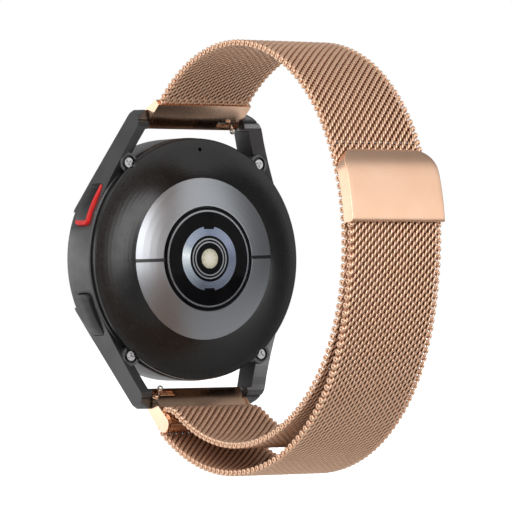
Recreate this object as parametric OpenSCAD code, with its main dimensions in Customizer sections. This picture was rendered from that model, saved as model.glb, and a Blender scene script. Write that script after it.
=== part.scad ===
// Round smartwatch on a magnetic woven-steel loop band.
// +X points to 3 o'clock (the keys), +Y from the display into the wrist, +Z to 12 o'clock.
// The origin is the middle of the wrist opening. Millimetres.

/* [Case] */
// Outer radius of the round case wall
case_r = 21.55; // [21.5:0.05:21.7]
// Distance from the rear rim to the front edge of the case wall
case_depth = 9.2; // [9.15:0.05:9.4]
// Inner radius of the case cavity
cavity_r = 19.6; // [19.5:0.05:19.7]
// Depth of the dark groove between case wall and rear cover
groove_depth = 1.4; // [1.4:0.05:1.6]
// How far the lug tips stand above and below the centre
lug_tip_z = 26.3; // [26.2:0.1:26.5]
// Clear width between the lugs
lug_gap = 20.3; // [20.2:0.1:20.4]
// Thickness of a lug bar
lug_thick = 2.1; // [2:0.1:2.3]
// Lean of the outer lug faces, tangent to the case wall
lug_lean = 24.4; // [24:0.1:24.8]

/* [Sensor dome] */
// Outer radius of the rear cover
cover_r = 21.4; // [21.3:0.05:21.45]
// Outer radius of the electrodes
electrode_r = 14.3; // [14.2:0.1:14.4]
// Outer radius of the black sensor window
window_r = 9.05; // [9:0.05:9.1]
// Height of the window's middle above the rear rim
dome_top = 4.2; // [4.1:0.05:4.3]
// Gap between the two electrodes
electrode_gap = 0.6; // [0.5:0.05:0.7]

/* [Keys] */
// Length of a key along the case wall
key_len = 7.9; // [7.5:0.1:8.2]
// Width of a key across the case wall
key_w = 4; // [3.8:0.1:4.2]
// Angle of each key above or below 3 o'clock
key_angle = 26.6; // [26:0.1:27]
// How far a key goes in when it is pressed
key_travel = 0.35; // [0.3:0.05:0.35]

/* [Band] */
// Width of the woven mesh
mesh_w = 18.6; // [18.4:0.1:18.6]
// Thickness of one layer of mesh
mesh_t = 1.2; // [1.1:0.05:1.2]
// Width of the connectors that sit between the lugs
connector_w = 19.6; // [19.5:0.1:19.7]
// Width of the magnetic clasp
clasp_w = 19; // [18.8:0.1:19.2]
// How far a quick release knob slides
release_travel = 1.6; // [1.5:0.1:1.7]

/* [Hidden] */
$fn = 96;
eps = 0.02;

rim_y = -30;                 // rear rim plane of the case, in the part's frame
front = -case_depth;
seat = front + 1.2;          // ledge that the display glass rests on
bay_top = -1.2;              // rear end of the cavity
groove_r = 20.9;
key_mid = -4.8;
key_floor_r = 20.35;
key_face_r = 22.1;
stem_r = 0.8;
running = 0.05;              // radial clearance of everything that slides or turns
screw_x = 13.8;
screw_z = 16.95;
bar_at = [-1.3, 24.9];       // spring bar of the upper connector: depth behind the rim, height
pin_r = 0.45;
tube_r = 0.9;
pin_reach = connector_w / 2 + 1.4;
slot_angle = 60;             // the release knobs lean this far from the wrist direction
knob_x = 8;

// The band's middle line: start, heading and arcs as [radius, sweep], positive to the right
band_start = [2.84, 27.45];
band_heading = 44.1;
band_arcs = [[31.87, 103.4], [36.88, 53], [32.82, 100], [5.8, -34.7], [2.39, -143.7],
             [37.39, -53.3], [33.75, -51.2], [55.65, -20]];
fold_bar_r = 1.64;
bend_gap = 0.25;             // half of the gap left at a bend of the band
inner_bend_gap = 0.8;        // the same where the layer runs clear of the bend's axis

function arc_end(p, a, r, s) = let (t = s < 0 ? -1 : 1)
    p + t * r * [sin(a) - sin(a - s), cos(a - s) - cos(a)];
function band_knots(i = 0, p = band_start, a = band_heading) =
    i == len(band_arcs) ? [[p, a]] :
    concat([[p, a]], band_knots(i + 1, arc_end(p, a, band_arcs[i][0], band_arcs[i][1]),
                                a - band_arcs[i][1]));
knots = band_knots();
function left(a) = [-sin(a), cos(a)];
function arc_centre(i) = let (t = band_arcs[i][1] < 0 ? -1 : 1, a = knots[i][1])
    knots[i][0] + t * band_arcs[i][0] * [sin(a), -cos(a)];
// Share of arc i that lies before the height z, on the far side of the wrist
function share_at(i, z) = let (r = band_arcs[i][0], a = knots[i][1], up = z - arc_centre(i)[1])
    (band_arcs[i][1] < 0 ? a - acos(-up / r) : a + acos(up / r)) / band_arcs[i][1];
// Share of arc i that a length along it takes up
function share(i, length) = length / (band_arcs[i][0] * abs(band_arcs[i][1]) * PI / 180);

// A strip of band along arc i between sweep fractions f0 and f1, offset o0 to o1 to its left
function strip_side(i, f0, f1, o) = let (n = max(2, ceil(abs(band_arcs[i][1] * (f1 - f0)) / 3)))
    [for (k = [0 : n]) let (s = band_arcs[i][1] * (f0 + (f1 - f0) * k / n), a = knots[i][1] - s)
        arc_end(knots[i][0], knots[i][1], band_arcs[i][0], s) + o * left(a)];
function reversed(v) = [for (i = [len(v) - 1 : -1 : 0]) v[i]];
// pieces is a list of [arc, from, to]
function run(pieces, o) = [for (j = [0 : len(pieces) - 1])
    each let (side = strip_side(pieces[j][0], pieces[j][1], pieces[j][2], o))
        [for (k = [j == 0 ? 0 : 1 : len(side) - 1]) side[k]]];
module band(pieces, w = mesh_w, o0 = -mesh_t / 2, o1 = mesh_t / 2)
    across(w) polygon(concat(run(pieces, o0), reversed(run(pieces, o1))));

// Puts a shape drawn round the case axis in place: its Z becomes depth behind the rear rim
module on_axis() translate([0, rim_y, 0]) rotate([-90, 0, 0]) children();
// Extrudes a side view, drawn as [depth, height], across the watch
module across(w) translate([0, rim_y, 0]) rotate([90, 0, 90]) linear_extrude(w, center = true)
    children();
// A shaft along X through a side-view point, from x0 to x1
module shaft(at, r, x0, x1) translate([x0, rim_y + at[0], at[1]]) rotate([0, 90, 0])
    cylinder(r = r, h = x1 - x0);
// Local X points out through a key; side is 1 above and -1 below 3 o'clock
module at_key(side) translate([0, rim_y + key_mid, 0]) rotate([0, -side * key_angle, 0])
    children();
module both() { children(); mirror([0, 0, 1]) children(); }
module four() both() { children(); mirror([1, 0, 0]) children(); }
module ring(r0, r1, z0, z1) translate([0, 0, z0]) difference() {
    cylinder(r = r1, h = z1 - z0);
    translate([0, 0, -1]) cylinder(r = r0, h = z1 - z0 + 2);
}
module disc(r, z0, z1) translate([0, 0, z0]) cylinder(r = r, h = z1 - z0);

// ---- Case ----

module wall() on_axis() rotate_extrude() polygon([
    [cavity_r, seat], [20.75, seat], [20.75, front], [21.1, front], [case_r, front + 0.55],
    [case_r, -groove_depth - 0.2], [case_r - 0.2, -groove_depth], [groove_r, -groove_depth],
    [groove_r, bay_top], [cavity_r, bay_top]]);

// Height above the axis of a line parallel to the lug's outer face
function lug_x(d, z) = (d - z * sin(lug_lean)) / cos(lug_lean);
// The rear faces of the lugs slant: their outer edges lie nearer the wrist
rear_slant = 18;
// Outer edge of a lug's rear face, as [depth, height], from its tip to the case wall
lug_rear = [[-2.2, lug_tip_z], [0.2, 25.2], [0.95, 24.55], [0.85, 24.4], [1.4, 24.05],
            [1.6, 23.3], [1.3, 22.4], [0.76, 21], [0.14, 19], [-0.4, 17], [-0.95, 14.5],
            [-1.6, 11.5], [-1.6, 5]];
// Rear faces of the tips, which slant the other way: [depth, height] beside the band and
// at the outer side
tip_inner = [[-8, 24.3], [-0.2, 24.3], [-0.2, 25.3], [-0.6, lug_tip_z], [-8, lug_tip_z]];
tip_outer = [[-8, 24.3], [0.5, 24.3], [0.5, 24.9], [0, 25.3], [-3.4, lug_tip_z],
             [-8, lug_tip_z]];
module slab(x, profile) translate([x, rim_y, 0]) rotate([90, 0, 90])
    linear_extrude(0.01) polygon(profile);
module lug() {
    inner_d = case_r - lug_thick;
    boss_z = lug_tip_z - 3.4;
    intersection() {
        translate([0, rim_y + 6, 0]) rotate([90, 0, 0]) linear_extrude(20) polygon([
            [lug_x(case_r, 8.4), 8.4], [lug_x(case_r, lug_tip_z - 0.5), lug_tip_z - 0.5],
            [lug_x(case_r, lug_tip_z) - 0.35, lug_tip_z], [lug_gap / 2, lug_tip_z],
            [lug_gap / 2, boss_z], [lug_x(inner_d, boss_z), boss_z - 0.1],
            [lug_x(inner_d, 12), 12]]);
        across(60) polygon([
            [front, 5], [front, 9], [-7.4, 14], [-3, 25.4],
            [-2.4, lug_tip_z], [5, lug_tip_z], [5, 5]]);
        union() {
            translate([0, rim_y, 0]) rotate([0, 0, rear_slant]) rotate([90, 0, 90])
                linear_extrude(60, center = true) polygon(concat(
                    [for (p = lug_rear)
                        [(p[0] - lug_x(case_r, p[1]) * tan(rear_slant)) * cos(rear_slant),
                         p[1]]],
                    [[-40, 5], [-40, lug_tip_z]]));
            hull() {
                slab(lug_gap / 2 - 0.05, tip_inner);
                slab(12, tip_outer);
            }
        }
    }
}
module screw_ear() translate([screw_x, rim_y, screw_z]) rotate([-90, 0, 0])
    disc(1.75, -4.6, -0.35);
module screw_well() translate([screw_x, rim_y, screw_z]) rotate([-90, 0, 0]) {
    disc(1.3, bay_top, 2);
    disc(0.5, -4, 0);
}
key_corner = 0.9;
module key_outline(grow) offset(r = key_corner + grow)
    square([key_len - 2 * key_corner, key_w - 2 * key_corner], center = true);
module case_frame() color("#4b4c4f") difference() {
    union() {
        wall();
        four() lug();
        four() screw_ear();
    }
    on_axis() disc(cavity_r, seat - eps, bay_top + eps);
    on_axis() disc(20.75, front - 1, seat);
    on_axis() ring(20.2, 20.7, bay_top - 0.3, 1);
    on_axis() disc(cover_r + running, bay_top, 3);
    four() screw_well();
    for (side = [-1, 1]) at_key(side) {
        translate([key_floor_r, 0, 0]) rotate([0, 90, 0]) linear_extrude(5)
            key_outline(0.12);
        rotate([0, 90, 0]) translate([0, 0, 15]) cylinder(r = stem_r + running, h = 10);
        rotate([0, 90, 0]) translate([0, 0, 15]) cylinder(r = 1.4, h = cavity_r + 0.4 - 15);
    }
    // speaker slot opposite the keys
    translate([-24, rim_y - 5.8, -3]) cube([6, 0.8, 6]);
    both() for (m = [0, 1]) mirror([m, 0, 0])
        shaft(bar_at, pin_r + running, lug_gap / 2 - 1, lug_gap / 2 + 1.8);
}

module front_glass() color("#0b0c0e") on_axis() rotate_extrude() polygon([
    [0, front - 0.5], [18.6, front - 0.5], [19.7, front - 0.42], [20.35, front - 0.2],
    [20.6, front + 0.1], [20.6, front + 0.7], [0, front + 0.7]]);
module glass_adhesive() color("#202020") on_axis() ring(cavity_r + 0.1, 20.5, front + 0.7, seat);
module display_panel() color("#101522") on_axis() disc(19.3, front + 0.7, front + 1.5);
module display_flex() color("#b8742c") translate([0, rim_y, 0]) {
    translate([-4, front + 1.5, -18.9]) cube([8, 0.15, 6]);
    translate([-4, front + 1.5, -18.9]) cube([8, 4.3, 0.15]);
}

bay_floor = front + 2.45;    // where the modules in the inner frame stand
module inner_frame() color("#2c2e31") on_axis() difference() {
    disc(19.35, front + 1.8, -3.45);
    disc(18, front + 2.4, 0);
    translate([8, -25, front + 2.4]) cube([30, 50, 20]);
    translate([13.4, -25, front]) cube([30, 50, 20]);
    translate([-5, 17.8, front + 1]) cube([10, 4, 20]);
    for (a = [110, 180, 250]) rotate(a) translate([18.45, 0, front]) cylinder(r = 0.3, h = 20);
}
module frame_screws() color("#a8a8ac") on_axis() for (a = [110, 180, 250])
    rotate(a) translate([18.45, 0, 0]) { disc(0.28, -6, -2.5); disc(0.8, -2.5, -2.1); }
module battery() color("#5a5f66") on_axis() intersection() {
    disc(17.7, bay_floor, -3.6);
    translate([-17.6, -11.8, front]) cube([24.4, 23.6, 20]);
}
module battery_lead() color("#b8742c") translate([6.85, rim_y - 5.4, -3]) {
    cube([1.5, 0.15, 3]);
    translate([1.35, 0, 0]) cube([0.15, 2.1, 3]);
}
module main_board() color("#1d4a32") on_axis() difference() {
    disc(17.9, -3.3, -2.5);
    translate([-5.5, 17.0, -5]) cube([11, 4, 6]);
}
module shield_cans() color("#b9bcc0") on_axis() {
    translate([-13.5, -11, -2.5]) cube([11, 9, 1.1]);
    translate([1.5, -11, -2.5]) cube([11, 8, 1.1]);
    translate([-13.5, 2.5, -2.5]) cube([10, 8.5, 1.1]);
}
module speaker() color("#33363a") translate([-6, rim_y + bay_floor, 12.6]) cube([12, 3.2, 4.2]);
module haptic_motor() color("#9a9da2") translate([-5.5, rim_y + bay_floor, -17])
    cube([11, 3, 4.2]);
module microphone() color("#c2a96a") translate([14.9, rim_y - 2.5, -1.4]) cube([1.9, 1, 2.8]);
module key_board() color("#b8742c") translate([0, rim_y + key_mid - 1.3, 0]) rotate([-90, 0, 0])
    rotate([0, 0, -38]) rotate_extrude(angle = 76) translate([17.5, 0]) square([0.3, 2.6]);
module key_switches() color("#c8cacd") for (side = [-1, 1]) at_key(side) {
    translate([17.8, -1.1, -1.5]) cube([0.45, 2.2, 3]);
    rotate([0, 90, 0]) disc(0.7, 18.2, 18.5);
}
module key_seals() color("#1a1a1a") for (side = [-1, 1]) at_key(side) rotate([0, 90, 0])
    ring(stem_r + 0.03, 1.38, cavity_r + 0.02, cavity_r + 0.38);

// ---- Rear cover and sensor dome ----

dish_r = 15;
dish_flat = 2.2;
dish_sweep = 27.7;
dish_out = 21.2;
rim_rise = 0.35;             // the cover's rim stands this far behind the rim plane
flange_low = -0.3;
// Concave slope of the rear cover from its rim up to the electrodes
function dish(t) = [dish_out - dish_r * (sin(dish_flat + dish_sweep * t) - sin(dish_flat)),
                    rim_rise + dish_r * (cos(dish_flat) - cos(dish_flat + dish_sweep * t))];
// Crowned surface of electrodes and window, as height over radius
function crown(r) = r > window_r ? crown(window_r) - (r - window_r) * 0.2 - pow(r - window_r, 2) / 80
                                 : dome_top - r * r / 164;
split_turn = 1.5;            // the line between the electrodes dips this much towards 3 o'clock
crown_rs = [for (i = [0 : 12]) electrode_r * i / 12];
module crown_solid(drop, floor_z) rotate_extrude() polygon(concat(
    [[0, floor_z]], [for (r = crown_rs) [r, crown(r) - drop]], [[electrode_r, floor_z]]));

module cover_dish() rotate_extrude() polygon(concat(
    [[13.2, 0.75], [13.2, 1.25], [electrode_r, 1.25]],
    [for (i = [10 : -1 : 0]) dish(i / 10)],
    [[cover_r, rim_rise - 0.2], [cover_r, flange_low], [groove_r, flange_low],
     [groove_r, bay_top], [20.0, bay_top], [18, -0.5], [16, 0.15], [14.6, 0.75]]));
screw_seat = -0.75;          // the screw heads are sunk to here
module rear_cover() color("#303133") difference() {
    union() {
        difference() {
            on_axis() cover_dish();
            four() translate([screw_x, rim_y + screw_seat, screw_z]) rotate([-90, 0, 0])
                cylinder(r = 0.95, h = 3);
        }
        four() translate([screw_x, rim_y, screw_z]) rotate([-90, 0, 0])
            disc(1.25, bay_top, screw_seat);
    }
    four() translate([screw_x, rim_y - 3, screw_z]) rotate([-90, 0, 0])
        cylinder(r = 0.6, h = 4);
    translate([-0.6, rim_y - 3, 19.4]) rotate([-90, 0, 0]) cylinder(r = 0.35, h = 6);
    // microphone hole in the middle of the groove
    translate([16, rim_y + (flange_low + bay_top) / 2, 0]) rotate([0, 90, 0])
        cylinder(r = 0.36, h = 8);
}
module rear_gasket() color("#151515") on_axis() ring(20.25, 20.65, bay_top - 0.3, bay_top);
module screw_mark() for (a = [90, 210, 330]) rotate(a) translate([0, -0.11, 0])
    cube([0.6, 0.22, 1]);
module rear_screws() color("#c9cbce") four() translate([screw_x, rim_y, screw_z])
    rotate([-90, 0, 0]) difference() {
        union() { disc(0.85, screw_seat, -0.3); disc(0.48, -3.8, screw_seat); }
        translate([0, 0, -0.55]) screw_mark();
    }
module pressure_membrane() color("#d8d8d4") translate([-0.6, rim_y - 1.55, 18.9])
    rotate([-90, 0, 0]) cylinder(r = 0.55, h = 0.3);
module charging_coil() color("#b06a3a") on_axis() ring(9.6, 12.9, -0.35, 0.5);
module coil_ferrite() color("#44464a") on_axis() ring(9.3, 13.1, -0.7, -0.35);
module sensor_board() color("#1d4a32") on_axis() disc(8.3, 0.3, 1.1);
module sensor_chips() color("#d8c8a0") on_axis() {
    translate([-1.1, -1.1, 1.1]) cube([2.2, 2.2, 0.6]);
    for (a = [0 : 45 : 315]) rotate(a) translate([4, -0.8, 1.1]) cube([1.6, 1.6, 0.5]);
}
module electrode_base() color("#101113") on_axis() difference() {
    union() {
        crown_solid(0.45, 1.25);
        intersection() {
            crown_solid(0, 1.25);
            rotate(split_turn) translate([-20, -electrode_gap / 2, 0])
                cube([40, electrode_gap, 10]);
        }
        disc(13.15, 0.8, 1.3);
    }
    disc(window_r + 0.02, 2.6, 10);
    disc(8.4, 0, 10);
}
module electrode(side) on_axis() intersection() {
    difference() {
        crown_solid(0, 1);
        crown_solid(0.45, 0);
        disc(window_r + 0.25, 0, 10);
    }
    rotate(split_turn) translate([-20, side > 0 ? -20 : electrode_gap / 2, 0])
        cube([40, 20 - electrode_gap / 2, 10]);
}
module electrode_upper() color("#8d8f93") electrode(1);
module electrode_lower() color("#8d8f93") electrode(-1);

inlay_depth = 0.25;
module detector_outline() difference() {
    circle(r = 5.7);
    circle(r = 4.06);
    for (m = [0, 1]) mirror([0, m]) polygon([[-1.0, 5.2], [1.0, 5.2], [1.3, 6], [-1.3, 6]]);
}
module trim_outline() difference() { circle(r = 8.59); circle(r = 8.29); }
module barrier_outline() for (r = [3.48, 2.92]) difference() {
    circle(r = r + 0.12);
    circle(r = r - 0.12);
}
module lens_outline() circle(r = 1.77);
module inlay() intersection() {
    difference() { crown_solid(0, 0); crown_solid(inlay_depth, -1); }
    linear_extrude(10) children();
}
module sensor_window() color("#050506") on_axis() difference() {
    intersection() { crown_solid(0, 2.6); disc(window_r, 0, 10); }
    inlay() { detector_outline(); trim_outline(); barrier_outline(); lens_outline(); }
    disc(8.3, 0, 2.9);
}
module window_trim() color("#7a7c80") on_axis() inlay() trim_outline();
module detector_ring() color("#8fa0b8") on_axis() inlay() detector_outline();
module light_barriers() color("#77797d") on_axis() inlay() barrier_outline();
module led_lens() color("#e6e0c6") on_axis() inlay() lens_outline();

// ---- Keys ----

accent_w = 0.7;
module key_body(accent) {
    intersection() {
        translate([key_floor_r + key_travel + 0.05, 0, 0]) rotate([0, 90, 0]) linear_extrude(3)
            difference() {
                key_outline(0);
                if (accent) accent_outline();
            }
        rotate([90, 0, 0]) translate([0, 0, -10]) cylinder(r = key_face_r, h = 20);
    }
    rotate([0, 90, 0]) difference() {
        disc(stem_r, 18.9, key_floor_r + key_travel + 0.06);
        ring(0.5, 2, 19.3, 19.55);
    }
}
// The band of colour along the wrist side and the lower end of the home key
module accent_outline() intersection() {
    difference() { key_outline(0.01); key_outline(-accent_w); }
    union() {
        translate([-10, key_w / 2 - accent_w - 0.15]) square([20, 4]);
        translate([key_len / 2 - accent_w - 0.15, -10]) square([4, 20]);
    }
}
module key_clip(side) at_key(side) rotate([0, 90, 0]) ring(0.5, 1.3, 19.3, 19.55);
module home_key() color("#38393c") at_key(1) key_body(true);
module home_accent() color("#c01818") at_key(1) intersection() {
    translate([key_floor_r + key_travel + 0.05, 0, 0]) rotate([0, 90, 0]) linear_extrude(3)
        accent_outline();
    rotate([90, 0, 0]) translate([0, 0, -10]) cylinder(r = key_face_r - 0.05, h = 20);
}
module home_clip() color("#b0b2b5") key_clip(1);
module back_key() color("#38393c") at_key(-1) key_body(false);
module back_clip() color("#b0b2b5") key_clip(-1);

// ---- Spring bars, the same above and below; side is 1 above and -1 below ----

// The knob is left of centre above and right of centre below, seen from the front
module bar_place(side) translate([0, rim_y + bar_at[0], side * bar_at[1]])
    rotate([0, 0, side > 0 ? 180 : 0]) children();
function slot_turn(side) = side > 0 ? slot_angle - 180 : slot_angle;
slot_from = 4.9;
slot_len = 4.5;
module slot_cut(side, w, reach) bar_place(side) translate([slot_from, 0, 0])
    rotate([slot_turn(side), 0, 0]) translate([0, 0, -w / 2]) cube([slot_len, reach, w]);
module bar_tube(side) difference() {
    bar_place(side) rotate([0, 90, 0]) {
        disc(tube_r, -9.5, 9.5);
        disc(pin_r, -pin_reach, -9);
    }
    bar_place(side) rotate([0, 90, 0]) disc(pin_r + running, 2.5, 12);
    slot_cut(side, 0.9, 3);
}
module bar_spring(side) bar_place(side) rotate([0, 90, 0]) ring(0.2, 0.42, 2.5, 6);
module release(side) bar_place(side) {
    rotate([0, 90, 0]) disc(pin_r, 6, pin_reach);
    translate([knob_x, 0, 0]) rotate([slot_turn(side) - 90, 0, 0]) {
        disc(0.36, 0, 2.2);
        translate([0, 0, 2.5]) sphere(r = 0.55);
    }
}
module upper_bar_tube() color("#b9bcc0") bar_tube(1);
module lower_bar_tube() color("#b9bcc0") bar_tube(-1);
module upper_bar_spring() color("#8a8d92") bar_spring(1);
module lower_bar_spring() color("#8a8d92") bar_spring(-1);
module upper_release() color("#c9cbce") release(1);
module lower_release() color("#c9cbce") release(-1);

// ---- Band ----

barrel_r = 1.3;
// A corner of the band's first end, o millimetres out from its middle line
function mesh_end(o) = band_start + o * left(band_heading);
lip = 0.05;                  // the connector is this much thicker than the mesh, each side
module upper_connector() color("#d9a98a") difference() {
    union() {
        shaft(bar_at, barrel_r, -connector_w / 2, connector_w / 2);
        across(connector_w) polygon([[-2.4, 24.8], [-1.6, 26.1], mesh_end(mesh_t / 2 + lip),
            mesh_end(-mesh_t / 2 - lip), [-1.45, 23], [-2.3, 23.9]]);
    }
    shaft(bar_at, tube_r, -15, 15);
    slot_cut(1, 1.8, 4);
}
module mesh_upper() color("#c98f6c") band([[0, 0, upper_bend - share(0, bend_gap)]]);
module mesh_far_inner() color("#c98f6c") band([[0, upper_bend + share(0, bend_gap), 1],
    [1, 0, 1], [2, 0, inner_bend - share(2, inner_bend_gap)]]);
module mesh_lower() color("#c98f6c") band([[2, inner_bend + share(2, inner_bend_gap), 1],
    [3, 0, 1], [4, 0, 1]]);
module mesh_return() color("#c98f6c") band([[5, 0, 1],
    [6, 0, lower_bend - share(6, bend_gap)]]);
module mesh_far_outer() color("#c98f6c") band([[6, lower_bend + share(6, bend_gap), 1],
    [7, 0, 1]]);

// The band bends level with the spring bars
upper_bend = share_at(0, bar_at[1]);
inner_bend = share_at(2, -bar_at[1]);
lower_bend = share_at(6, -bar_at[1]);
fold_centre = arc_centre(4);

module lower_buckle() color("#d9a98a") difference() {
    union() {
        shaft([bar_at[0], -bar_at[1]], barrel_r, -connector_w / 2, connector_w / 2);
        across(connector_w) polygon([[-1.5, -22.75], [1.75, -25.9], [1.2, -26.55], [-1, -26.2],
            [-2.4, -24.8], [-2.3, -23.9]]);
        for (m = [0, 1]) mirror([m, 0, 0]) translate([connector_w / 2 - 0.225, 0, 0]) across(0.45)
            polygon([[-1.9, -25.9], [-1.3, -24.9], [0.6, -24.5], [2.05, -25.8], [5, -28.1],
                     [5.3, -28.9], [5, -29.8], [4.2, -30.4], [3.2, -30.4], [1.3, -29.1]]);
    }
    shaft([bar_at[0], -bar_at[1]], tube_r, -15, 15);
    slot_cut(-1, 1.1, 4);
    shaft(fold_centre, 0.6, -15, 15);
}
module fold_bar() color("#d9a98a") {
    shaft(fold_centre, fold_bar_r, -9.3, 9.3);
    shaft(fold_centre, 0.6, -9.8, 9.8);
}

// ---- Clasp ----

// The clasp is drawn round the centre of the band's far arc, in degrees above that centre
clasp_centre = arc_centre(1);
clasp_in_r = band_arcs[1][0] + mesh_t / 2 + 0.25;
clasp_out_r = clasp_in_r + 2.4;
clasp_from = 4.2;
clasp_bend_from = 14.6;
clasp_to = 23.2;
function polar(r, a) = clasp_centre + r * [cos(a), sin(a)];
function arc(r, a0, a1) = [for (k = [0 : 8]) polar(r, a0 + (a1 - a0) * k / 8)];
// The far end is drawn down to the band in a quarter ellipse
function nose(drop, a0, a1) = [for (k = [1 : 8])
    polar(clasp_out_r - (clasp_out_r - clasp_in_r - drop) * (1 - cos(90 * k / 8)),
          a0 + (a1 - a0) * sin(90 * k / 8))];
module clasp_side() polygon(concat(arc(clasp_in_r, clasp_to, clasp_from),
    arc(clasp_out_r, clasp_from, clasp_bend_from), nose(0.3, clasp_bend_from, clasp_to)));
// A front view with round top corners
module clasp_front(w, z0, z1, r) translate([0, 40, 0]) rotate([90, 0, 0]) linear_extrude(30)
    polygon(concat([[-w / 2, z0], [w / 2, z0]],
        [for (m = [1, -1]) for (k = [0 : 12]) let (a = m > 0 ? k * 7.5 : 90 - k * 7.5)
            [m * (w / 2 - r + r * cos(a)), z1 - r + r * sin(a)]]));
clasp_low_z = 4.9;
clasp_high_z = 16.9;
clasp_wall = 0.45;
plate_t = 0.35;
module clasp_layer(w, r0, r1, a0, a1) across(w)
    polygon(concat(arc(r0, a1, a0), arc(r1, a0, a1)));
module clasp_cover() color("#e8bfa0") difference() {
    intersection() {
        across(clasp_w) clasp_side();
        clasp_front(clasp_w, clasp_low_z, clasp_high_z, 4);
    }
    clasp_layer(clasp_w - 2 * clasp_wall, clasp_in_r - 1, clasp_out_r - clasp_wall,
                clasp_from - 2, clasp_bend_from);
}
module clasp_plate() color("#c9987a") clasp_layer(clasp_w - 2 * clasp_wall - 0.1, clasp_in_r,
    clasp_in_r + plate_t, clasp_from + 0.3, clasp_bend_from - 0.1);
module clasp_magnets() color("#9a9ca0") for (k = [-1 : 1]) translate([k * 5.6, 0, 0])
    clasp_layer(5, clasp_in_r + plate_t + eps, clasp_out_r - clasp_wall - 0.05, 8.2,
                clasp_bend_from - 0.3);

case_frame();
front_glass();
glass_adhesive();
display_panel();
display_flex();
inner_frame();
frame_screws();
battery();
battery_lead();
main_board();
shield_cans();
speaker();
haptic_motor();
microphone();
key_board();
key_switches();
key_seals();
rear_cover();
rear_gasket();
rear_screws();
pressure_membrane();
charging_coil();
coil_ferrite();
sensor_board();
sensor_chips();
electrode_base();
electrode_upper();
electrode_lower();
sensor_window();
window_trim();
detector_ring();
light_barriers();
led_lens();
home_key();
home_accent();
home_clip();
back_key();
back_clip();
upper_connector();
upper_bar_tube();
upper_bar_spring();
upper_release();
mesh_upper();
mesh_far_inner();
mesh_far_outer();
clasp_cover();
clasp_plate();
clasp_magnets();
mesh_lower();
mesh_return();
lower_buckle();
fold_bar();
lower_bar_tube();
lower_bar_spring();
lower_release();
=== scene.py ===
"""Looks of a round smartwatch on a magnetic woven-steel loop band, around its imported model.

Lengths are in millimetres until MM turns them into metres, unless a comment says otherwise. +X
points to 3 o'clock, +Y from the display into the wrist and +Z to 12 o'clock. The rear rim of the
case lies at RIM_Y.
"""
import math

import bpy
import numpy as np
from mathutils import Matrix, Vector


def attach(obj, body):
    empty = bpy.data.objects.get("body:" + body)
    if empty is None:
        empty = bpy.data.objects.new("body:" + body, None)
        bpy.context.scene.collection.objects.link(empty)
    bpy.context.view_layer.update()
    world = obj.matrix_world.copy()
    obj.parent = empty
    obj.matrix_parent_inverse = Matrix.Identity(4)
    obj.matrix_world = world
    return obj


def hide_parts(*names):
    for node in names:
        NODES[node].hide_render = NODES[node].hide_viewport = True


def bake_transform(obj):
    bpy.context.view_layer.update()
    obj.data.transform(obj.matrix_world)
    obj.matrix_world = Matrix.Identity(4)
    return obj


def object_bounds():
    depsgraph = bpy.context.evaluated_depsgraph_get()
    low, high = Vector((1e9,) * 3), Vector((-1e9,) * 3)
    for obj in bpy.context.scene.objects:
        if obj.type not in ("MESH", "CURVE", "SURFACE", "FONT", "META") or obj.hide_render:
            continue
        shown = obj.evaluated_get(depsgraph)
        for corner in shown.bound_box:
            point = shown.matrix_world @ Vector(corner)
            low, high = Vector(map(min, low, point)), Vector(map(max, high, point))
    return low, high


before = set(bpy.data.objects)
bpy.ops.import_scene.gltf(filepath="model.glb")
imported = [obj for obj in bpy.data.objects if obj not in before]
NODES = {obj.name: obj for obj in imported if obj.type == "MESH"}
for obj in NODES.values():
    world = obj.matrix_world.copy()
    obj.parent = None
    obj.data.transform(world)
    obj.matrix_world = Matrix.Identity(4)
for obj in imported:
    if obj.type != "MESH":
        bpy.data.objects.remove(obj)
CAD_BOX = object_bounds()
MM = 0.001
RIM_Y = -30.0


# ---- Nodes and materials ----

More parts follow.
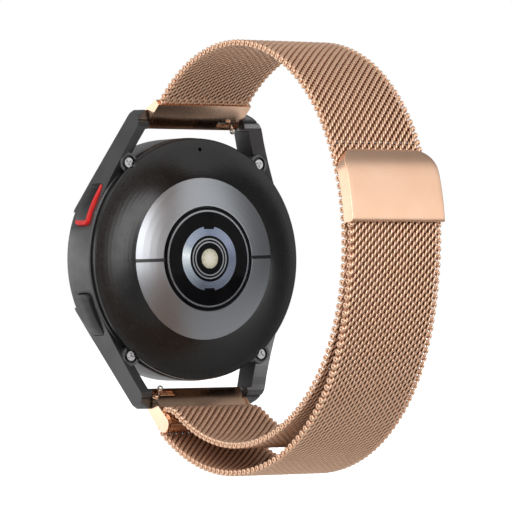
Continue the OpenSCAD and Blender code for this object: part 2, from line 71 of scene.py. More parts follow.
class Shader:
    """A Principled material whose graph is built a node at a time."""

    def __init__(self, name, colour, metallic=0.0, roughness=0.4, **sockets):
        self.material = bpy.data.materials.new(name)
        self.material.use_nodes = True
        self.tree = self.material.node_tree
        self.principled = self.tree.nodes["Principled BSDF"]
        self.set("Base Color", (*colour, 1))
        self.set("Metallic", metallic)
        self.set("Roughness", roughness)
        for socket, value in sockets.items():
            self.set(socket.replace("_", " ").title().replace("Ior", "IOR"), value)
        self.coordinates = self.node("ShaderNodeTexCoord").outputs["Object"]

    def set(self, socket, value):
        self.principled.inputs[socket].default_value = value

    def node(self, kind, inputs=(), **settings):
        made = self.tree.nodes.new(kind)
        for key, value in settings.items():
            setattr(made, key, value)
        for key, value in dict(inputs).items():
            if isinstance(value, bpy.types.NodeSocket):
                self.tree.links.new(value, made.inputs[key])
            else:
                made.inputs[key].default_value = value
        return made

    def link(self, value, socket):
        self.tree.links.new(value, self.principled.inputs[socket])

    def math(self, operation, a, b=0.0):
        return self.node("ShaderNodeMath", {0: a, 1: b}, operation=operation).outputs[0]

    def scaled(self, x, y, z):
        """Object coordinates stretched so that one unit is 1/x, 1/y and 1/z metres."""
        mapping = self.node("ShaderNodeMapping", {"Vector": self.coordinates})
        mapping.inputs["Scale"].default_value = (x, y, z)
        return mapping.outputs[0]

    def noise(self, size, detail=3.0, vector=None):
        """Noise whose features are about size millimetres wide."""
        place = self.scaled(*[1 / (size * MM)] * 3) if vector is None else vector
        return self.node("ShaderNodeTexNoise", {
            "Vector": place, "Scale": 1.0, "Detail": detail, "Roughness": 0.5}).outputs[0]

    def between(self, value, low, high, from_low=0.3, from_high=0.7):
        """value, from from_low to from_high, carried to low to high."""
        return self.node("ShaderNodeMapRange", {
            "Value": value, "From Min": from_low, "From Max": from_high,
            "To Min": low, "To Max": high}).outputs[0]

    def ramp(self, value, *stops):
        """stops are (place, colour) pairs."""
        made = self.node("ShaderNodeValToRGB", {0: value})
        elements = made.color_ramp.elements
        while len(elements) < len(stops):
            elements.new(0.5)
        for element, (place, colour) in zip(elements, stops):
            element.position = place
            element.color = (*colour, 1)
        return made.outputs[0]

    def bump(self, height, depth):
        """Bump of depth millimetres."""
        made = self.node("ShaderNodeBump", {"Height": height, "Strength": 1.0,
                                            "Distance": depth * MM})
        self.link(made.outputs[0], "Normal")
        return self

    def radius(self):
        """Distance from the case axis, in metres."""
        split = self.node("ShaderNodeSeparateXYZ", {0: self.coordinates})
        x, z = split.outputs[0], split.outputs[2]
        return self.math("SQRT", self.math("ADD", self.math("MULTIPLY", x, x),
                                           self.math("MULTIPLY", z, z)))

    def angle(self):
        """Angle about the case axis, from -pi to pi."""
        split = self.node("ShaderNodeSeparateXYZ", {0: self.coordinates})
        return self.math("ARCTAN2", split.outputs[2], split.outputs[0])

    def finish(self, colour, vary, patch, rough, grain, depth):
        """Colour and roughness that drift over patches of patch millimetres, and a fine grain."""
        drift = self.noise(patch, 4.0)
        dark, light = [tuple(min(1.0, c * (1 + s)) for c in colour) for s in (-vary, vary)]
        self.link(self.ramp(drift, (0.3, dark), (0.7, light)), "Base Color")
        self.link(self.between(self.noise(patch / 3), *rough), "Roughness")
        self.bump(self.noise(grain, 2.0), depth)
        return self.material


def satin_black(name, colour, rough, metallic=0.0):
    """Fine-blasted black metal or moulding."""
    return Shader(name, colour, metallic, sum(rough) / 2).finish(
        colour, 0.1, 5.0, rough, 0.12, 0.0022)


def case_metal():
    return satin_black("case_anodised", (0.118, 0.118, 0.121), (0.34, 0.42), 0.9)


def cover_moulding():
    material = satin_black("cover_satin", (0.008, 0.0072, 0.0070), (0.23, 0.29))
    material.node_tree.nodes["Principled BSDF"].inputs["Specular IOR Level"].default_value = 0.45
    return material


KEY_SHADE_REACH = 14         # the keys' colour changes between these heights, up and down


def key_metal():
    """Black metal like the case's, whose colour changes with height. This stands in for the
    reflections on the keys' faces."""
    s = Shader("key_anodised", (0.08, 0.08, 0.084), 0.7, 0.34)
    height = s.node("ShaderNodeSeparateXYZ", {0: s.coordinates}).outputs[2]
    s.link(s.ramp(s.between(height, 0.0, 1.0, -KEY_SHADE_REACH * MM, KEY_SHADE_REACH * MM),
                  (0.0, (0.045, 0.045, 0.048)), (0.25, (0.05, 0.05, 0.053)),
                  (0.68, (0.17, 0.17, 0.175)), (0.86, (0.035, 0.035, 0.037)),
                  (1.0, (0.012, 0.012, 0.013))), "Base Color")
    s.link(s.between(s.noise(1.6), 0.30, 0.38), "Roughness")
    return s.bump(s.noise(0.12, 2.0), 0.0022).material


def key_lacquer():
    return Shader("key_lacquer", (0.72, 0.014, 0.012), 0.0, 0.3, coat_weight=0.3).finish(
        (0.72, 0.014, 0.012), 0.12, 1.5, (0.26, 0.36), 0.15, 0.003)


ELECTRODE_RINGS = 9000.0     # steps of the turning marks in a metre of radius
DETECTOR_RINGS = 14000.0


def electrode_metal():
    """Steel turned on the case axis: faint rings and a soft sheen."""
    s = Shader("electrode_steel", (0.42, 0.43, 0.45), 1.0, 0.3)
    turned = s.node("ShaderNodeCombineXYZ", {
        0: s.math("MULTIPLY", s.radius(), ELECTRODE_RINGS),
        1: s.between(s.angle(), 0, 1.2, -3.2, 3.2)})
    rings = s.noise(1, 4.0, turned.outputs[0])
    s.link(s.ramp(rings, (0.3, (0.355, 0.37, 0.395)), (0.7, (0.39, 0.405, 0.43))), "Base Color")
    s.link(s.between(rings, 0.29, 0.33), "Roughness")
    return s.bump(rings, 0.0003).material


def dome_moulding():
    return Shader("dome_black", (0.012, 0.012, 0.013), 0.0, 0.3).finish(
        (0.012, 0.012, 0.013), 0.15, 2.0, (0.25, 0.35), 0.1, 0.002)


def window_glass():
    """Black sensor window: polished, with the faint ripple of a ground dome."""
    s = Shader("window_glass", (0.004, 0.004, 0.005), 0.0, 0.06)
    s.set("Specular IOR Level", 0.05)
    s.link(s.between(s.noise(4.0), 0.04, 0.09), "Roughness")
    s.link(s.ramp(s.noise(3.0), (0.3, (0.003, 0.003, 0.004)), (0.7, (0.007, 0.007, 0.008))),
           "Base Color")
    return s.bump(s.noise(5.0, 1.0), 0.003).material


def display_glass():
    s = Shader("display_glass", (0.003, 0.004, 0.006), 0.0, 0.04, coat_weight=1.0,
               coat_roughness=0.02)
    s.link(s.between(s.noise(9.0), 0.03, 0.07), "Roughness")
    s.link(s.ramp(s.noise(12.0), (0.3, (0.002, 0.003, 0.005)), (0.7, (0.005, 0.006, 0.009))),
           "Base Color")
    return s.bump(s.noise(14.0, 1.0), 0.004).material


def detector_metal():
    """Blue-grey detector window. Its colour changes with the angle about the case axis, which
    stands in for the reflections on its fine rings."""
    s = Shader("detector_film", (0.35, 0.40, 0.47), 0.85, 0.25)
    turn = s.between(s.angle(), 0, 1, -math.pi, math.pi)
    shade = s.ramp(turn, (0.0, (0.15, 0.17, 0.24)), (0.12, (0.22, 0.25, 0.33)),
                   (0.30, (0.16, 0.185, 0.25)), (0.45, (0.45, 0.52, 0.58)),
                   (0.52, (0.85, 0.92, 0.95)), (0.58, (0.33, 0.38, 0.46)),
                   (0.75, (0.17, 0.20, 0.28)), (0.9, (0.25, 0.285, 0.39)),
                   (1.0, (0.15, 0.17, 0.24)))
    s.link(shade, "Base Color")
    rings = s.noise(1, 3.0, s.node("ShaderNodeCombineXYZ", {
        0: s.math("MULTIPLY", s.radius(), DETECTOR_RINGS)}).outputs[0])
    s.link(s.between(rings, 0.2, 0.32), "Roughness")
    return s.bump(rings, 0.001).material


def trim_metal():
    return Shader("trim_steel", (0.30, 0.31, 0.33), 1.0, 0.3).finish(
        (0.30, 0.31, 0.33), 0.1, 2.0, (0.25, 0.35), 0.2, 0.002)


def led_lens():
    """Cream diffuser with a faint spoke pattern, in a dark rim."""
    s = Shader("led_diffuser", (0.80, 0.78, 0.62), 0.0, 0.25, coat_weight=0.5,
               subsurface_weight=0.2, subsurface_radius=(0.6 * MM, 0.5 * MM, 0.3 * MM))
    spokes = s.math("SINE", s.math("MULTIPLY", s.angle(), 9.0))
    near = s.between(s.radius(), 1.0, 0.3, 0.2 * MM, 1.5 * MM)
    light = s.math("ADD", s.math("MULTIPLY", spokes, 0.05), near)
    rim = s.between(s.radius(), 0.0, -1.5, 1.7 * MM, 1.95 * MM)
    s.link(s.ramp(s.math("ADD", light, rim), (0.0, (0.012, 0.012, 0.010)),
                  (0.25, (0.58, 0.56, 0.40)), (0.6, (0.86, 0.84, 0.66)),
                  (1.0, (0.97, 0.95, 0.84))), "Base Color")
    s.link(s.between(s.noise(0.6), 0.18, 0.32), "Roughness")
    return s.bump(spokes, 0.004).material


def bright_steel(name, colour):
    return Shader(name, colour, 1.0, 0.26).finish(colour, 0.08, 1.0, (0.2, 0.32), 0.15, 0.003)


ROSE = (0.93, 0.60, 0.41)
BRUSH_DEPTH = 0.0001         # of the plating's brush marks, in millimetres


def rose_plate(name, rough):
    """Rose gold plating over steel, brushed across the band, with rough as its roughness range."""
    s = Shader(name, ROSE, 1.0, sum(rough) / 2)
    streaks = s.noise(1, 3.0, s.scaled(250, 7000, 7000))
    s.link(s.ramp(s.noise(7.0), (0.3, (0.90, 0.57, 0.39)), (0.7, (0.95, 0.63, 0.45))),
           "Base Color")
    s.link(s.between(streaks, *rough), "Roughness")
    return s.bump(streaks, BRUSH_DEPTH).material


def rose_satin():
    return rose_plate("rose_gold_satin", (0.31, 0.35))


def rose_polish():
    return rose_plate("rose_gold_polish", (0.12, 0.16))


def rose_wire():
    """The same plating on drawn wire, dulled and darkened where it lies deep in the weave, as
    painted shade.
    """
    s = Shader("rose_gold_wire", ROSE, 0.75, 0.34)
    s.set("Specular IOR Level", 0.2)
    wire = s.ramp(s.noise(2.5), (0.3, (0.92, 0.60, 0.41)), (0.7, (0.96, 0.65, 0.46)))
    # Painted shade deep in the weave: the colour that deep wire and the strip between the faces
    # take on.
    painted_deep_shade = s.ramp(s.noise(0.8), (0.3, (0.21, 0.070, 0.030)), (0.7, (0.26, 0.095, 0.043)))
    inside = s.node("ShaderNodeAttribute", attribute_name="painted_shade_depth").outputs["Fac"]
    mix = s.node("ShaderNodeMix", data_type="RGBA")
    s.tree.links.new(inside, mix.inputs["Factor"])
    s.tree.links.new(wire, mix.inputs["A"])
    s.tree.links.new(painted_deep_shade, mix.inputs["B"])
    s.link(mix.outputs["Result"], "Base Color")
    # Less metallic where deep, as part of the same painted shade.
    s.link(s.between(inside, 0.75, 0.1, 0.0, 1.0), "Metallic")
    s.link(s.between(s.noise(1.5), 0.30, 0.38), "Roughness")
    return s.bump(s.noise(0.12, 2.0), 0.0005).material


def circuit_board():
    """Green solder mask over a faint grid of tracks."""
    s = Shader("solder_mask", (0.01, 0.10, 0.05), 0.0, 0.3, coat_weight=0.3)
    cells = s.node("ShaderNodeTexVoronoi", {"Vector": s.scaled(900, 900, 900), "Scale": 1.0},
                   distance="MANHATTAN", feature="F1").outputs[0]
    s.link(s.ramp(cells, (0.28, (0.008, 0.075, 0.035)), (0.34, (0.02, 0.16, 0.08)),
                  (0.5, (0.012, 0.10, 0.05))), "Base Color")
    s.link(s.between(s.noise(2.0), 0.25, 0.4), "Roughness")
    return s.bump(cells, 0.01).material


def cell_foil():
    s = Shader("cell_foil", (0.35, 0.37, 0.40), 0.9, 0.35)
    s.link(s.ramp(s.noise(4.0), (0.3, (0.28, 0.30, 0.33)), (0.7, (0.42, 0.44, 0.47))),
           "Base Color")
    s.link(s.between(s.noise(1.5), 0.28, 0.45), "Roughness")
    return s.bump(s.noise(2.5, 5.0), 0.05).material


def copper_winding():
    """Enamelled turns round the case axis, darker between the turns as painted shade in the
    grooves.
    """
    s = Shader("copper_winding", (0.62, 0.26, 0.12), 0.9, 0.32)
    turns = s.math("SINE", s.math("MULTIPLY", s.radius(), 2 * math.pi / (0.22 * MM)))
    s.link(s.ramp(turns, (0.0, (0.32, 0.11, 0.05)), (0.6, (0.66, 0.28, 0.13))), "Base Color")
    s.link(s.between(turns, 0.4, 0.25, -1, 1), "Roughness")
    return s.bump(turns, 0.05).material


def plain_part(name, colour, metallic=0.0, rough=(0.35, 0.5)):
    return Shader(name, colour, metallic, sum(rough) / 2).finish(
        colour, 0.14, 2.5, rough, 0.3, 0.006)


def dress_nodes():
    """Gives the CAD nodes their materials. The mesh nodes are left out: the weave replaces them."""
    materials = {
        case_metal(): ["case_frame"],
        cover_moulding(): ["rear_cover"],
        key_metal(): ["home_key", "back_key"],
        key_lacquer(): ["home_accent"],
        electrode_metal(): ["electrode_upper", "electrode_lower"],
        dome_moulding(): ["electrode_base"],
        window_glass(): ["sensor_window"],
        display_glass(): ["front_glass"],
        detector_metal(): ["detector_ring"],
        trim_metal(): ["window_trim", "light_barriers"],
        led_lens(): ["led_lens"],
        bright_steel("screw_steel", (0.50, 0.50, 0.51)): ["rear_screws", "frame_screws"],
        bright_steel("pin_steel", (0.66, 0.62, 0.58)): [
            "upper_bar_tube", "lower_bar_tube", "upper_bar_spring", "lower_bar_spring",
            "upper_release", "lower_release", "home_clip", "back_clip"],
        rose_polish(): ["upper_connector", "lower_buckle", "fold_bar"],
        rose_satin(): ["clasp_cover", "clasp_plate"],
        circuit_board(): ["main_board", "sensor_board"],
        cell_foil(): ["battery"],
        copper_winding(): ["charging_coil"],
        plain_part("flex_polyimide", (0.50, 0.20, 0.05), 0.1): [
            "display_flex", "battery_lead", "key_board"],
        plain_part("can_tin", (0.60, 0.61, 0.62), 0.9, (0.25, 0.4)): [
            "shield_cans", "microphone", "key_switches"],
        plain_part("module_black", (0.03, 0.032, 0.035), 0.2): ["speaker"],
        plain_part("motor_steel", (0.45, 0.46, 0.47), 0.9, (0.3, 0.42)): ["haptic_motor"],
        plain_part("ferrite", (0.05, 0.052, 0.055), 0.1, (0.5, 0.65)): ["coil_ferrite"],
        plain_part("magnet_nickel", (0.55, 0.55, 0.56), 0.95, (0.2, 0.3)): ["clasp_magnets"],
        plain_part("chip_resin", (0.62, 0.52, 0.30)): ["sensor_chips"],
        plain_part("seal_silicone", (0.012, 0.012, 0.013), 0.0, (0.5, 0.7)): [
            "key_seals", "rear_gasket", "glass_adhesive"],
        plain_part("membrane_ptfe", (0.75, 0.75, 0.72), 0.0, (0.6, 0.8)): [
            "pressure_membrane"],
        plain_part("frame_nylon", (0.028, 0.03, 0.033), 0.0, (0.45, 0.6)): ["inner_frame"],
        plain_part("panel_back", (0.02, 0.024, 0.035), 0.1, (0.2, 0.35)): ["display_panel"],
    }
    for material, names in materials.items():
        for name in names:
            for slot in NODES[name].material_slots:
                slot.material = material


def soften_edges():
    """Rounds the sharp edges of the turned and milled shells by a hair, as real ones are."""
    for name, width in (("case_frame", 0.16), ("upper_connector", 0.12), ("lower_buckle", 0.08),
                        ("home_key", 0.12), ("back_key", 0.12), ("rear_screws", 0.05)):
        node = NODES[name]
        weld = node.modifiers.new("weld", "WELD")
        weld.merge_threshold = 0.002 * MM
        bevel = node.modifiers.new("bevel", "BEVEL")
        bevel.width = width * MM
        bevel.segments = 2
        bevel.limit_method = "ANGLE"
        bevel.angle_limit = math.radians(32)
        bevel.harden_normals = True
        bevel.use_clamp_overlap = True


# ---- The band ----

# Middle line of the band in the side view: start as (depth behind the rim, height), heading in
# degrees and arcs of (radius, sweep), positive to the right
BAND_START = (2.84, 27.45)
BAND_HEADING = 44.1
BAND_ARCS = ((31.87, 103.4), (36.88, 53.0), (32.82, 100.0), (5.8, -34.7), (2.39, -143.7),
             (37.39, -53.3), (33.75, -51.2), (55.65, -20.0))
MESH_W = 18.6
MESH_T = 1.2
WIRE_D = 0.42
TURN_PITCH = 1.3             # across the band, from one turn of a spiral to the next
SPIRAL_PITCH = 0.67          # along the band, from one spiral to the next
REACH = 0.66                 # how far a turn reaches to each side of its spiral's middle
END_REACH = 0.32             # the same in the upright loop at the band's edge
LAST_TURN = 6.5              # turns from the middle of the band to where that loop starts
LOOP_TURNS = 1.5             # turns in the loop
OPEN_TURNS = 0.38            # turns that a spiral without a loop runs past LAST_TURN
CORE_T = 0.12                # the spirals' inner lacing, drawn as one thin strip painted dark: painted shade deep in the weave
CORE_STEP = 0.5              # along the band, from one row of that strip to the next
LIFT = (MESH_T - WIRE_D) / 2
FLATNESS = 0.75              # below 1 the turns lie flatter on the band's faces
TURN_STEPS = 12
WIRE_SIDES = 6
LOOSE = 0.005                # how unevenly the spirals lie
DARK_BELOW = 0.84            # wire nearer the middle than this share of the half thickness darkens, as painted shade
DARK_FADE = 0.35             # the share over which it darkens fully
EDGE_BRIGHT = 0.7            # width at each edge of the band where no wire gets the painted shade
EDGE_FADE = 0.3              # width beside it over which the darkening sets in
BEND_HEIGHT = 24.9           # of the hinges that the band bends about, above and below
BEND_REACH = 4.0             # half length of the bend zone worked out about such a place; the zone is not used
CUT_FROM_BEND = 8            # how far from a bend a stretch of weave ends
TUCK = 1.0                   # how far the weave starts inside the upper connector
END_OVER = 1.2               # how far the outer layer runs on past the last arc


def arc_length(radius, sweep):
    return radius * math.radians(abs(sweep))


def arc_end(point, heading, radius, sweep):
    """Where an arc ends, as arrays (depth, height); sweep may be an array."""
    a, b = math.radians(heading), np.radians(heading - sweep)
    side = np.sign(sweep)
    return (point[0] + side * radius * (math.sin(a) - np.sin(b)),
            point[1] + side * radius * (np.cos(b) - math.cos(a)))


def band_line(along):
    """Points (depth, height) and headings in degrees at lengths along the band."""
    along = np.asarray(along, float)
    depth, height, heading = (np.zeros(along.shape) for _ in range(3))
    point, a, begun = BAND_START, BAND_HEADING, 0.0
    for i, (radius, sweep) in enumerate(BAND_ARCS):
        length = arc_length(radius, sweep)
        last = i == len(BAND_ARCS) - 1
        here = (along >= begun) & ((along < begun + length) | last) if i else along < length
        turned = np.sign(sweep) * np.degrees((along[here] - begun) / radius)
        depth[here], height[here] = arc_end(point, a, radius, turned)
        heading[here] = a - turned
        point, a, begun = arc_end(point, a, radius, sweep), a - sweep, begun + length
    return depth, height, heading


def arc_starts():
    """Length along the band at which each arc starts, and at which the last one ends."""
    return np.concatenate([[0], np.cumsum([arc_length(*arc) for arc in BAND_ARCS])])


def wire_path(closed):
    """One spiral's wire: x across, offset along the band and offset out of it, in mm.
    Every second spiral ends in an upright loop at each edge; the others stop short, half a
    turn out of step and tucked between."""
    edge = (MESH_W - WIRE_D) / 2
    turns = LAST_TURN if closed else LAST_TURN + OPEN_TURNS
    extra = LOOP_TURNS if closed else 0.0
    count = int(2 * (turns + extra) * TURN_STEPS) + 1
    t = np.linspace(-turns - extra, turns + extra, count)
    past = np.abs(t) - turns
    moved = np.clip(2 * past, 0, 1)      # half a turn takes the wire over to the edge
    x = np.minimum(np.abs(t), turns) * TURN_PITCH
    x += (edge - turns * TURN_PITCH) * moved
    reach = REACH + (END_REACH - REACH) * moved
    phase = 2 * math.pi * t + (0 if closed else math.pi)
    lift = np.sin(phase)
    return (np.sign(t) * x, -reach * np.cos(phase),
            LIFT * np.sign(lift) * np.abs(lift) ** FLATNESS)


def tube(lines, radius, sides):
    """Vertices and quads of closed tubes along lines, an array of (tube, point, xyz)."""
    tangent = np.gradient(lines, axis=1)
    tangent /= np.linalg.norm(tangent, axis=2, keepdims=True)
    u = np.array([1.0, 0, 0]) - tangent[..., :1] * tangent
    u /= np.linalg.norm(u, axis=2, keepdims=True)
    v = np.cross(tangent, u)
    corners = np.arange(sides) * 2 * math.pi / sides
    ring = (np.cos(corners)[:, None] * u[:, :, None] + np.sin(corners)[:, None] * v[:, :, None])
    points = lines[:, :, None] + radius * ring
    count, steps = lines.shape[:2]
    base = (np.arange(count)[:, None, None] * steps + np.arange(steps - 1)[:, None]) * sides
    here, there = np.arange(sides), (np.arange(sides) + 1) % sides
    quads = np.stack([base + here, base + there, base + sides + there, base + sides + here], -1)
    ends = [np.arange(count)[:, None] * steps * sides + here[::-1],
            (np.arange(count)[:, None] * steps + steps - 1) * sides + here]
    return points.reshape(-1, 3), quads.reshape(-1, 4), np.concatenate(ends)


def core_strip(first, last):
    """Vertices and quads of the thin strip between the weave's two faces, which is painted dark as
    shade.
    """
    half, rows = MESH_W / 2 - 2 * WIRE_D, max(2, int((last - first) / CORE_STEP))
    depth, height, heading = band_line(np.linspace(first, last, rows))
    a = np.radians(heading)
    corners = [(-half, -CORE_T / 2), (half, -CORE_T / 2), (half, CORE_T / 2),
               (-half, CORE_T / 2)]
    points = np.stack([np.stack([np.full(rows, x), RIM_Y + depth - np.sin(a) * out,
                                 height + np.cos(a) * out], -1) for x, out in corners], 1)
    quads = [[i * 4 + j, i * 4 + (j + 1) % 4, i * 4 + (j + 1) % 4 + 4, i * 4 + j + 4]
             for i in range(rows - 1) for j in range(4)]
    ends = [[3, 2, 1, 0], [rows * 4 - 4 + j for j in range(4)]]
    return points.reshape(-1, 3), np.array(quads + ends)


def weave(name, first, last, material):
    """The spirals whose middles lie from first to last along the band, as one object."""
    numbers = np.arange(math.ceil(first / SPIRAL_PITCH), math.ceil(last / SPIRAL_PITCH))
    rng = np.random.default_rng(len(numbers))
    core, core_faces = core_strip(numbers[0] * SPIRAL_PITCH, numbers[-1] * SPIRAL_PITCH)
    vertices, faces, total = [core], core_faces.tolist(), len(core)
    # The strip takes the painted shade fully; the wires take it by depth.
    painted_shade_depth = [np.ones(total)]
    for closed in (True, False):
        chosen = numbers[numbers % 2 == (0 if closed else 1)]
        x, along, out = wire_path(closed)
        loose = rng.normal(0, LOOSE, (len(chosen), 3))
        s = chosen[:, None] * SPIRAL_PITCH + along * (1 + loose[:, :1]) + loose[:, 1:2]
        depth, height, heading = band_line(s)
        a = np.radians(heading)
        lines = np.stack([np.broadcast_to(x, s.shape) + loose[:, 2:],
                          RIM_Y + depth - np.sin(a) * out, height + np.cos(a) * out], -1)
        points, quads, caps = tube(lines, WIRE_D / 2, WIRE_SIDES)
        vertices.append(points)
        rings = points.reshape(*s.shape, WIRE_SIDES, 3)
        rise = ((rings[..., 2] - height[..., None]) * np.cos(a)[..., None]
                - (rings[..., 1] - RIM_Y - depth[..., None]) * np.sin(a)[..., None])
        # Painted shade: the wire darkens towards the weave's middle, but not at the band's edges.
        sunk = np.clip((DARK_BELOW - np.abs(rise) / (MESH_T / 2)) / DARK_FADE, 0, 1)
        inner = np.clip((MESH_W / 2 - EDGE_BRIGHT - np.abs(rings[..., 0])) / EDGE_FADE, 0, 1)
        painted_shade_depth.append((sunk * inner).ravel())
        faces += (quads + total).tolist() + (caps + total).tolist()
        total += len(points)
    mesh = bpy.data.meshes.new(name)
    mesh.from_pydata((np.concatenate(vertices) * MM).tolist(), [], faces)
    mesh.attributes.new("painted_shade_depth", "FLOAT", "POINT").data.foreach_set(
        "value", np.concatenate(painted_shade_depth))
    mesh.materials.append(material)
    mesh.shade_smooth()
    made = bpy.data.objects.new(name, mesh)
    bpy.context.scene.collection.objects.link(made)
    return made


def side_point(depth, height):
    return (0.0, (RIM_Y + depth) * MM, height * MM)


def bend_zone(along, half):
    """Start and end points of a bend, half millimetres before and after a place."""
    (depth,), (height,), (heading,) = band_line([along])
    a = math.radians(heading)
    return [side_point(depth + side * half * math.cos(a), height + side * half * math.sin(a))
            for side in (-1, 1)]


def height_crossing(arc, height):
    """Length along the band at which it passes a height within an arc."""
    starts = arc_starts()
    along = np.linspace(starts[arc], starts[arc + 1], 4001)
    heights = band_line(along)[1]
    return along[np.argmin(np.abs(heights - height))]


def make_band():
    """Five stretches of weave, cut where none of them spans more than one bend."""
    material = rose_wire()
    starts = arc_starts()
    upper, inner, lower = (height_crossing(0, BEND_HEIGHT), height_crossing(2, -BEND_HEIGHT),
                           height_crossing(6, -BEND_HEIGHT))
    far_from, far_to, outer_from = (upper + CUT_FROM_BEND, inner - CUT_FROM_BEND,
                                    lower + CUT_FROM_BEND)
    fold_end = starts[5]
    outer_to = starts[-1] + END_OVER
    pieces = [
        ("weave_upper", -TUCK, far_from, ("strap_upper", "strap_far"), upper, ["mesh_upper"]),
        ("weave_far", far_from, far_to, None, None, ["mesh_far_inner"]),
        ("weave_lower", far_to, fold_end, ("strap_far", "strap_lower"), inner, ["mesh_lower"]),
        ("weave_return", fold_end, outer_from, ("strap_lower", "strap_far"), lower,
         ["mesh_return"]),
        ("weave_outer", outer_from, outer_to, ("strap_far", "clasp"), None, ["mesh_far_outer"]),
    ]
    for name, first, last, bodies, bend, replaced in pieces:
        made = weave(name, first, last, material)
        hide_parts(*replaced)
        if bodies is None:
            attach(made, "strap_far")
        elif bend is None:
            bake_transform(made)
        else:
            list(bend_zone(bend, BEND_REACH))
            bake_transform(made)


# ---- The clasp's cover ----

CLASP_W = 19.0
CLASP_THICK = 2.4
CLASP_FROM, CLASP_BEND, CLASP_TO = 4.2, 14.6, 23.2   # degrees above the far arc's centre
CLASP_CORNER = 4.0           # radius of the two upper corners
CLASP_EDGE = 0.15            # radius of the long edges
CLASP_WALL = 0.45
CLASP_LIP = 0.3              # thickness left at the upper end
CLASP_GAP = 0.25             # between the band and the cover
CLASP_LOWER_END = ((0.0, 0.25), (0.12, 0.07), (0.35, 0.0))   # degrees up, and how much thinner
CLASP_ROWS = 14              # rows up to where the cover bends in
NOSE_ROWS = 40               # rows from there to its upper end
ACROSS_POINTS = 25
CORNER_POINTS = 7
SOLID_ROOF = 0.02            # depth of the recess left where the cover is not hollow


def clasp_rows():
    """Rows of (degrees, thickness, half width, hollow) from the hinge to the upper end."""
    inner = BAND_ARCS[1][0] + MESH_T / 2 + CLASP_GAP

    def lift(degrees):
        return inner * math.sin(math.radians(degrees))

    straight = [(CLASP_FROM + up, CLASP_THICK - thinner) for up, thinner in CLASP_LOWER_END]
    straight += [(a, CLASP_THICK) for a in np.linspace(CLASP_FROM + 1, CLASP_BEND, CLASP_ROWS)]
    nose = [(CLASP_BEND + (CLASP_TO - CLASP_BEND) * math.sin(t),
             CLASP_THICK - (CLASP_THICK - CLASP_LIP) * (1 - math.cos(t)))
            for t in np.linspace(0, math.pi / 2, NOSE_ROWS)]
    rows = []
    for hollow, part in ((True, straight), (False, nose)):
        for degrees, thick in part:
            over = min(1.0, max(0.0, 1 - (lift(CLASP_TO) - lift(degrees)) / CLASP_CORNER))
            half = CLASP_W / 2 - CLASP_CORNER * (1 - math.sqrt(1 - over * over))
            rows.append((degrees, thick, half, hollow))
    return inner, rows


def make_clasp():
    """The clasp's cover as one smooth shell, open towards the wrist and at its hinge."""
    starts = arc_starts()
    (depth,), (height,), (heading,) = band_line([starts[1]])
    a = math.radians(heading)
    radius = BAND_ARCS[1][0]
    centre = (depth + radius * math.sin(a), height - radius * math.cos(a))
    inner, rows = clasp_rows()
    across = np.linspace(-1, 1, ACROSS_POINTS)
    corner = np.linspace(0, math.pi / 2, CORNER_POINTS)
    vertices = []
    for degrees, thick, half, hollow in rows:
        edge = min(CLASP_EDGE, 0.6 * thick)
        left = [(-half, 0.0)] + [(-half + edge * (1 - math.cos(t)),
                                  thick - edge * (1 - math.sin(t))) for t in corner]
        top = [(x * (half - edge), thick) for x in across[1:-1]]
        outer = left + top + [(-x, r) for x, r in left[::-1]]
        roof = thick - CLASP_WALL if hollow else SOLID_ROOF
        inside = half - CLASP_WALL
        loop = outer + [(inside, 0.0), (inside, roof), (-inside, roof), (-inside, 0.0)]
        turn = math.radians(degrees)
        for x, r in loop:
            vertices.append((x * MM, (RIM_Y + centre[0] + (inner + r) * math.cos(turn)) * MM,
                             (centre[1] + (inner + r) * math.sin(turn)) * MM))
    size = len(loop)
    faces = [[i * size + j, i * size + (j + 1) % size, (i + 1) * size + (j + 1) % size,
              (i + 1) * size + j] for i in range(len(rows) - 1) for j in range(size)]
    faces += [list(range(size))[::-1], [(len(rows) - 1) * size + j for j in range(size)]]
    mesh = bpy.data.meshes.new("clasp_shell")
    mesh.from_pydata(vertices, [], faces)
    mesh.materials.append(NODES["clasp_cover"].material_slots[0].material)
    mesh.shade_smooth()
    mesh.set_sharp_from_angle(angle=math.radians(35))
    made = bpy.data.objects.new("clasp_shell", mesh)
    bpy.context.scene.collection.objects.link(made)
    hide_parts("clasp_cover")
    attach(made, "clasp")


# ---- Stage, lights and camera ----

FLOOR_DROP = 12.0            # the floor lies this far under the band
FLOOR_RADIUS = 60.0          # in metres, so that its edge is never seen
FLOOR_HIDDEN = 0.18          # the floor's colour, except to the camera
FLOOR_GLOW = (0.8, 0.0)      # its own light behind the watch and ahead of it, except to the camera
GLOW_REACH = 0.15            # metres to each side of the origin in which that light changes
WORLD_SIDES = (0.14, 0.42)   # light from the far left, and from ahead and the right
SIDE_RANGE = (-0.85, -0.35)  # between these directions along X it changes from one to the other
WORLD_HEIGHTS = (0.5, 1.0)   # share of it that comes from below and from above
HEIGHT_RANGE = (-0.6, 0.1)   # the same along Z
BOX_DISTANCE = 1000.0        # from the middle of the rim to each soft box
VIEW_TURN = 33.5             # degrees from the case axis round to the camera
VIEW_TIP = -1.2              # degrees that the view turns about the X axis
VIEW_DISTANCE = 750.0
VIEW_AIM = (10.49, 0.55)     # how far right of the middle of the rim, and above it, it aims
LENS, SENSOR = 298, 36


def seen_by_camera(tree, hidden, seen, socket):
    """Gives socket one colour where the camera sees the surface and another elsewhere."""
    mix = tree.nodes.new("ShaderNodeMix")
    mix.data_type = "RGBA"
    tree.links.new(tree.nodes.new("ShaderNodeLightPath").outputs["Is Camera Ray"],
                   mix.inputs["Factor"])
    for name, colour in (("A", hidden), ("B", seen)):
        if isinstance(colour, bpy.types.NodeSocket):
            tree.links.new(colour, mix.inputs[name])
        else:
            mix.inputs[name].default_value = (*colour, 1)
    tree.links.new(mix.outputs["Result"], socket)


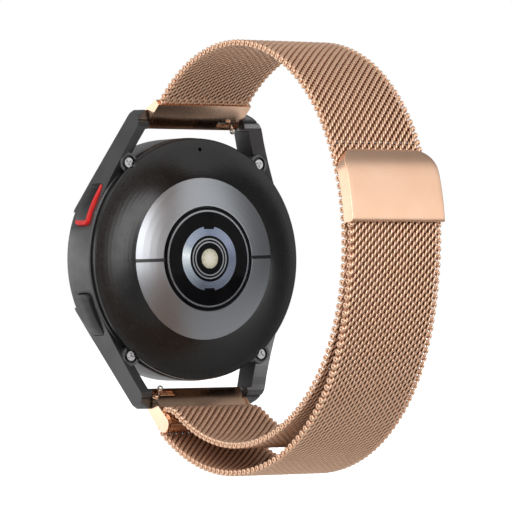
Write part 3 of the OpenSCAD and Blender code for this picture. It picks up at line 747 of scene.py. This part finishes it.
def make_stage():
    """A plain pale floor, just under the band. It lights the watch less than it looks."""
    bpy.ops.mesh.primitive_circle_add(vertices=96, radius=FLOOR_RADIUS, fill_type="NGON",
                                      location=(0, 0, CAD_BOX[0].z - FLOOR_DROP * MM))
    floor = bpy.context.object
    floor.name = "floor"
    s = Shader("floor_pale", (0.92, 0.92, 0.92), 0.0, 0.9)
    seen_by_camera(s.tree, (FLOOR_HIDDEN,) * 3, (0.9, 0.9, 0.9), s.principled.inputs["Base Color"])
    toward = s.node("ShaderNodeSeparateXYZ", {0: s.coordinates}).outputs[1]
    glow = s.between(toward, *FLOOR_GLOW, from_low=-GLOW_REACH, from_high=GLOW_REACH)
    seen_by_camera(s.tree, glow, (0.97, 0.97, 0.97), s.principled.inputs["Emission Color"])
    s.set("Emission Strength", 1.0)
    floor.data.materials.append(s.material)


def make_world():
    """White behind the watch; elsewhere a studio that is dimmer to the left and below."""
    world = bpy.data.worlds.new("studio")
    bpy.context.scene.world = world
    world.use_nodes = True
    tree = world.node_tree

    def ranged(value, low, high, to_low, to_high):
        made = tree.nodes.new("ShaderNodeMapRange")
        made.interpolation_type = "SMOOTHSTEP"
        tree.links.new(value, made.inputs["Value"])
        for name, number in (("From Min", low), ("From Max", high), ("To Min", to_low),
                             ("To Max", to_high)):
            made.inputs[name].default_value = number
        return made.outputs[0]

    way = tree.nodes.new("ShaderNodeSeparateXYZ")
    tree.links.new(tree.nodes.new("ShaderNodeTexCoord").outputs["Generated"], way.inputs[0])
    level = tree.nodes.new("ShaderNodeMath")
    level.operation = "MULTIPLY"
    tree.links.new(ranged(way.outputs[0], *SIDE_RANGE, *WORLD_SIDES), level.inputs[0])
    tree.links.new(ranged(way.outputs[2], *HEIGHT_RANGE, *WORLD_HEIGHTS), level.inputs[1])
    seen_by_camera(tree, level.outputs[0], (1, 1, 1), tree.nodes["Background"].inputs["Color"])


def soft_box(name, azimuth, elevation, size, radiance):
    """A lit panel facing the watch. Azimuth is in degrees from +Y towards +X; sizes in mm."""
    turn, rise = math.radians(azimuth), math.radians(elevation)
    way = Vector((math.sin(turn) * math.cos(rise), math.cos(turn) * math.cos(rise),
                  math.sin(rise)))
    data = bpy.data.lights.new(name, "AREA")
    data.shape = "RECTANGLE"
    data.size, data.size_y = (edge * MM for edge in size)
    data.energy = radiance * math.pi * data.size * data.size_y
    made = bpy.data.objects.new(name, data)
    made.location = (way * BOX_DISTANCE + Vector((0, RIM_Y, 0))) * MM
    made.rotation_euler = way.to_track_quat("Z", "Y").to_euler()
    bpy.context.scene.collection.objects.link(made)


def make_lights():
    """Soft boxes on both sides of the camera and behind it, above it, and behind the watch."""
    soft_box("box_right", -35, 3, (560, 480), 1.0)
    soft_box("box_high", -35, 31, (560, 470), 0.74)
    soft_box("box_left", 5, 18, (520, 1000), 3.8)
    soft_box("box_front", 50, 0, (680, 700), 0.95)
    soft_box("box_side", 95, 0, (900, 800), 1.1)
    soft_box("box_over", 75, 50, (1000, 600), 1.3)
    soft_box("box_behind", 146, -9, (1050, 760), 1.15)


def make_camera():
    """Looks at the back of the watch, aimed off to its right. The watch stands a little
    tipped in the view, so the camera turns by as much about the X axis."""
    view, tip = math.radians(VIEW_TURN), math.radians(VIEW_TIP)
    back = Vector((math.sin(view), math.cos(view), 0))
    right = Vector((-back.y, back.x, 0))
    tipped = Matrix.Rotation(tip, 3, "X")
    back, right, up = tipped @ back, tipped @ right, tipped @ Vector((0, 0, 1))
    aim = Vector((0, RIM_Y, 0)) + right * VIEW_AIM[0] + up * VIEW_AIM[1]
    data = bpy.data.cameras.new("camera")
    data.lens = LENS
    data.sensor_width = SENSOR
    data.clip_start, data.clip_end = 0.05, 20
    camera = bpy.data.objects.new("camera", data)
    place = Vector((0, RIM_Y, 0)) + back * VIEW_DISTANCE
    away = (place - aim).normalized()
    side = up.cross(away).normalized()
    turn = Matrix((side, away.cross(side), away)).transposed()
    camera.matrix_world = Matrix.Translation(place * MM) @ turn.to_4x4()
    bpy.context.scene.collection.objects.link(camera)
    bpy.context.scene.camera = camera


make_camera()
dress_nodes()
soften_edges()
make_band()
make_clasp()
make_stage()
make_world()
make_lights()
bpy.context.scene.view_settings.view_transform = "Standard"
